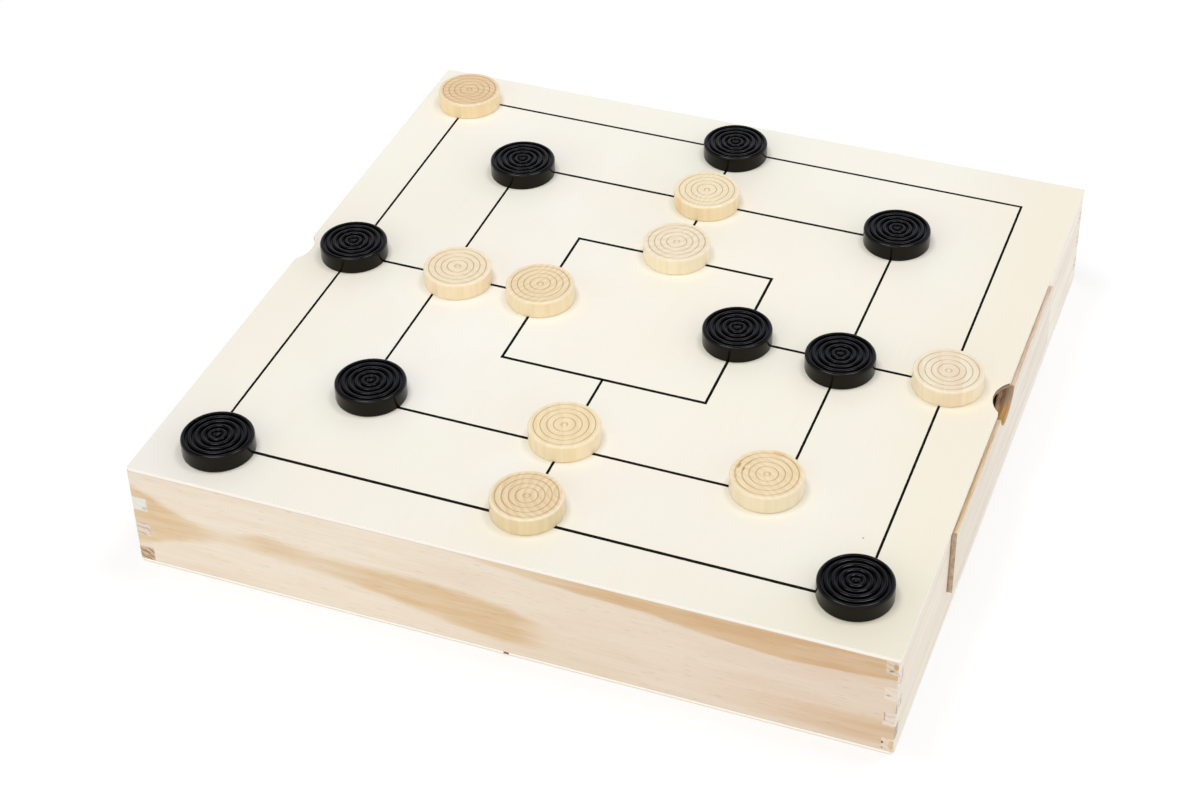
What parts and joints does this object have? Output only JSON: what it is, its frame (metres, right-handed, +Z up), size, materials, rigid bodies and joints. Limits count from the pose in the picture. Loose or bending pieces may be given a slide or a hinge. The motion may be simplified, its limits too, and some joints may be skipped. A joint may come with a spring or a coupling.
{
  "type": "games compendium",
  "caption": "Shallow square wooden games case with a mill board on top, turned playing men standing on it, and scooped drawers that slide out of opposite sides.",
  "frame": {"origin": "centre of the underside of the base board", "axes": "+Z up, +X towards the side whose drawer stands a little open, -Y towards the plain front wall"},
  "size_m": [0.3262, 0.324, 0.0588],
  "materials": {
    "pine": "sanded, unvarnished pine with long grain",
    "printed_top": "smooth cream coated ply with black printed lines",
    "plywood": "thin bare ply",
    "pale_wood": "turned pale hardwood under clear lacquer",
    "black_lacquer": "turned wood under gloss black lacquer",
    "black_stain": "black stained wood, satin",
    "stick_wood": "round wooden sticks with coloured bands"
  },
  "bodies": {
    "case": {"base_board": "plywood", "top_board": "printed_top", "front_wall": "pine", "back_wall": "pine", "left_wall": "pine", "right_wall": "pine", "centre_partition": "pine", "drawer_runners": "pine", "drawer_guides": "pine"},
    "right_drawer": {"right_drawer_front": "pine", "right_drawer_back": "pine", "right_drawer_near_side": "pine", "right_drawer_far_side": "pine", "right_drawer_bottom": "plywood", "right_drawer_divider": "pine", "dominoes": "black_stain"},
    "left_drawer": {"left_drawer_front": "pine", "left_drawer_back": "pine", "left_drawer_near_side": "pine", "left_drawer_far_side": "pine", "left_drawer_bottom": "plywood", "left_drawer_divider": "pine", "dice": "pale_wood", "spillikins": "stick_wood"},
    "light_man_1": {"light_man_1": "pale_wood"},
    "light_man_2": {"light_man_2": "pale_wood"},
    "light_man_3": {"light_man_3": "pale_wood"},
    "light_man_4": {"light_man_4": "pale_wood"},
    "light_man_5": {"light_man_5": "pale_wood"},
    "light_man_6": {"light_man_6": "pale_wood"},
    "light_man_7": {"light_man_7": "pale_wood"},
    "light_man_8": {"light_man_8": "pale_wood"},
    "light_man_9": {"light_man_9": "pale_wood"},
    "dark_man_1": {"dark_man_1": "black_lacquer"},
    "dark_man_2": {"dark_man_2": "black_lacquer"},
    "dark_man_3": {"dark_man_3": "black_lacquer"},
    "dark_man_4": {"dark_man_4": "black_lacquer"},
    "dark_man_5": {"dark_man_5": "black_lacquer"},
    "dark_man_6": {"dark_man_6": "black_lacquer"},
    "dark_man_7": {"dark_man_7": "black_lacquer"},
    "dark_man_8": {"dark_man_8": "black_lacquer"},
    "dark_man_9": {"dark_man_9": "black_lacquer"}
  },
  "joints": [
    {"name": "right_drawer_slide", "type": "slide", "parent": "case", "child": "right_drawer", "axis": [1, 0, 0], "range_m": [-0.0022, 0.1378]},
    {"name": "left_drawer_slide", "type": "slide", "parent": "case", "child": "left_drawer", "axis": [-1, 0, 0], "range_m": [0, 0.14]},
    {"name": "light_man_1_lift", "type": "slide", "parent": "case", "child": "light_man_1", "axis": [0, 0, 1], "range_m": [0, 0.04]},
    {"name": "light_man_2_lift", "type": "slide", "parent": "case", "child": "light_man_2", "axis": [0, 0, 1], "range_m": [0, 0.04]},
    {"name": "light_man_3_lift", "type": "slide", "parent": "case", "child": "light_man_3", "axis": [0, 0, 1], "range_m": [0, 0.04]},
    {"name": "light_man_4_lift", "type": "slide", "parent": "case", "child": "light_man_4", "axis": [0, 0, 1], "range_m": [0, 0.04]},
    {"name": "light_man_5_lift", "type": "slide", "parent": "case", "child": "light_man_5", "axis": [0, 0, 1], "range_m": [0, 0.04]},
    {"name": "light_man_6_lift", "type": "slide", "parent": "case", "child": "light_man_6", "axis": [0, 0, 1], "range_m": [0, 0.04]},
    {"name": "light_man_7_lift", "type": "slide", "parent": "case", "child": "light_man_7", "axis": [0, 0, 1], "range_m": [0, 0.04]},
    {"name": "light_man_8_lift", "type": "slide", "parent": "case", "child": "light_man_8", "axis": [0, 0, 1], "range_m": [0, 0.04]},
    {"name": "light_man_9_lift", "type": "slide", "parent": "case", "child": "light_man_9", "axis": [0, 0, 1], "range_m": [0, 0.04]},
    {"name": "dark_man_1_lift", "type": "slide", "parent": "case", "child": "dark_man_1", "axis": [0, 0, 1], "range_m": [0, 0.04]},
    {"name": "dark_man_2_lift", "type": "slide", "parent": "case", "child": "dark_man_2", "axis": [0, 0, 1], "range_m": [0, 0.04]},
    {"name": "dark_man_3_lift", "type": "slide", "parent": "case", "child": "dark_man_3", "axis": [0, 0, 1], "range_m": [0, 0.04]},
    {"name": "dark_man_4_lift", "type": "slide", "parent": "case", "child": "dark_man_4", "axis": [0, 0, 1], "range_m": [0, 0.04]},
    {"name": "dark_man_5_lift", "type": "slide", "parent": "case", "child": "dark_man_5", "axis": [0, 0, 1], "range_m": [0, 0.04]},
    {"name": "dark_man_6_lift", "type": "slide", "parent": "case", "child": "dark_man_6", "axis": [0, 0, 1], "range_m": [0, 0.04]},
    {"name": "dark_man_7_lift", "type": "slide", "parent": "case", "child": "dark_man_7", "axis": [0, 0, 1], "range_m": [0, 0.04]},
    {"name": "dark_man_8_lift", "type": "slide", "parent": "case", "child": "dark_man_8", "axis": [0, 0, 1], "range_m": [0, 0.04]},
    {"name": "dark_man_9_lift", "type": "slide", "parent": "case", "child": "dark_man_9", "axis": [0, 0, 1], "range_m": [0, 0.04]}
  ]
}
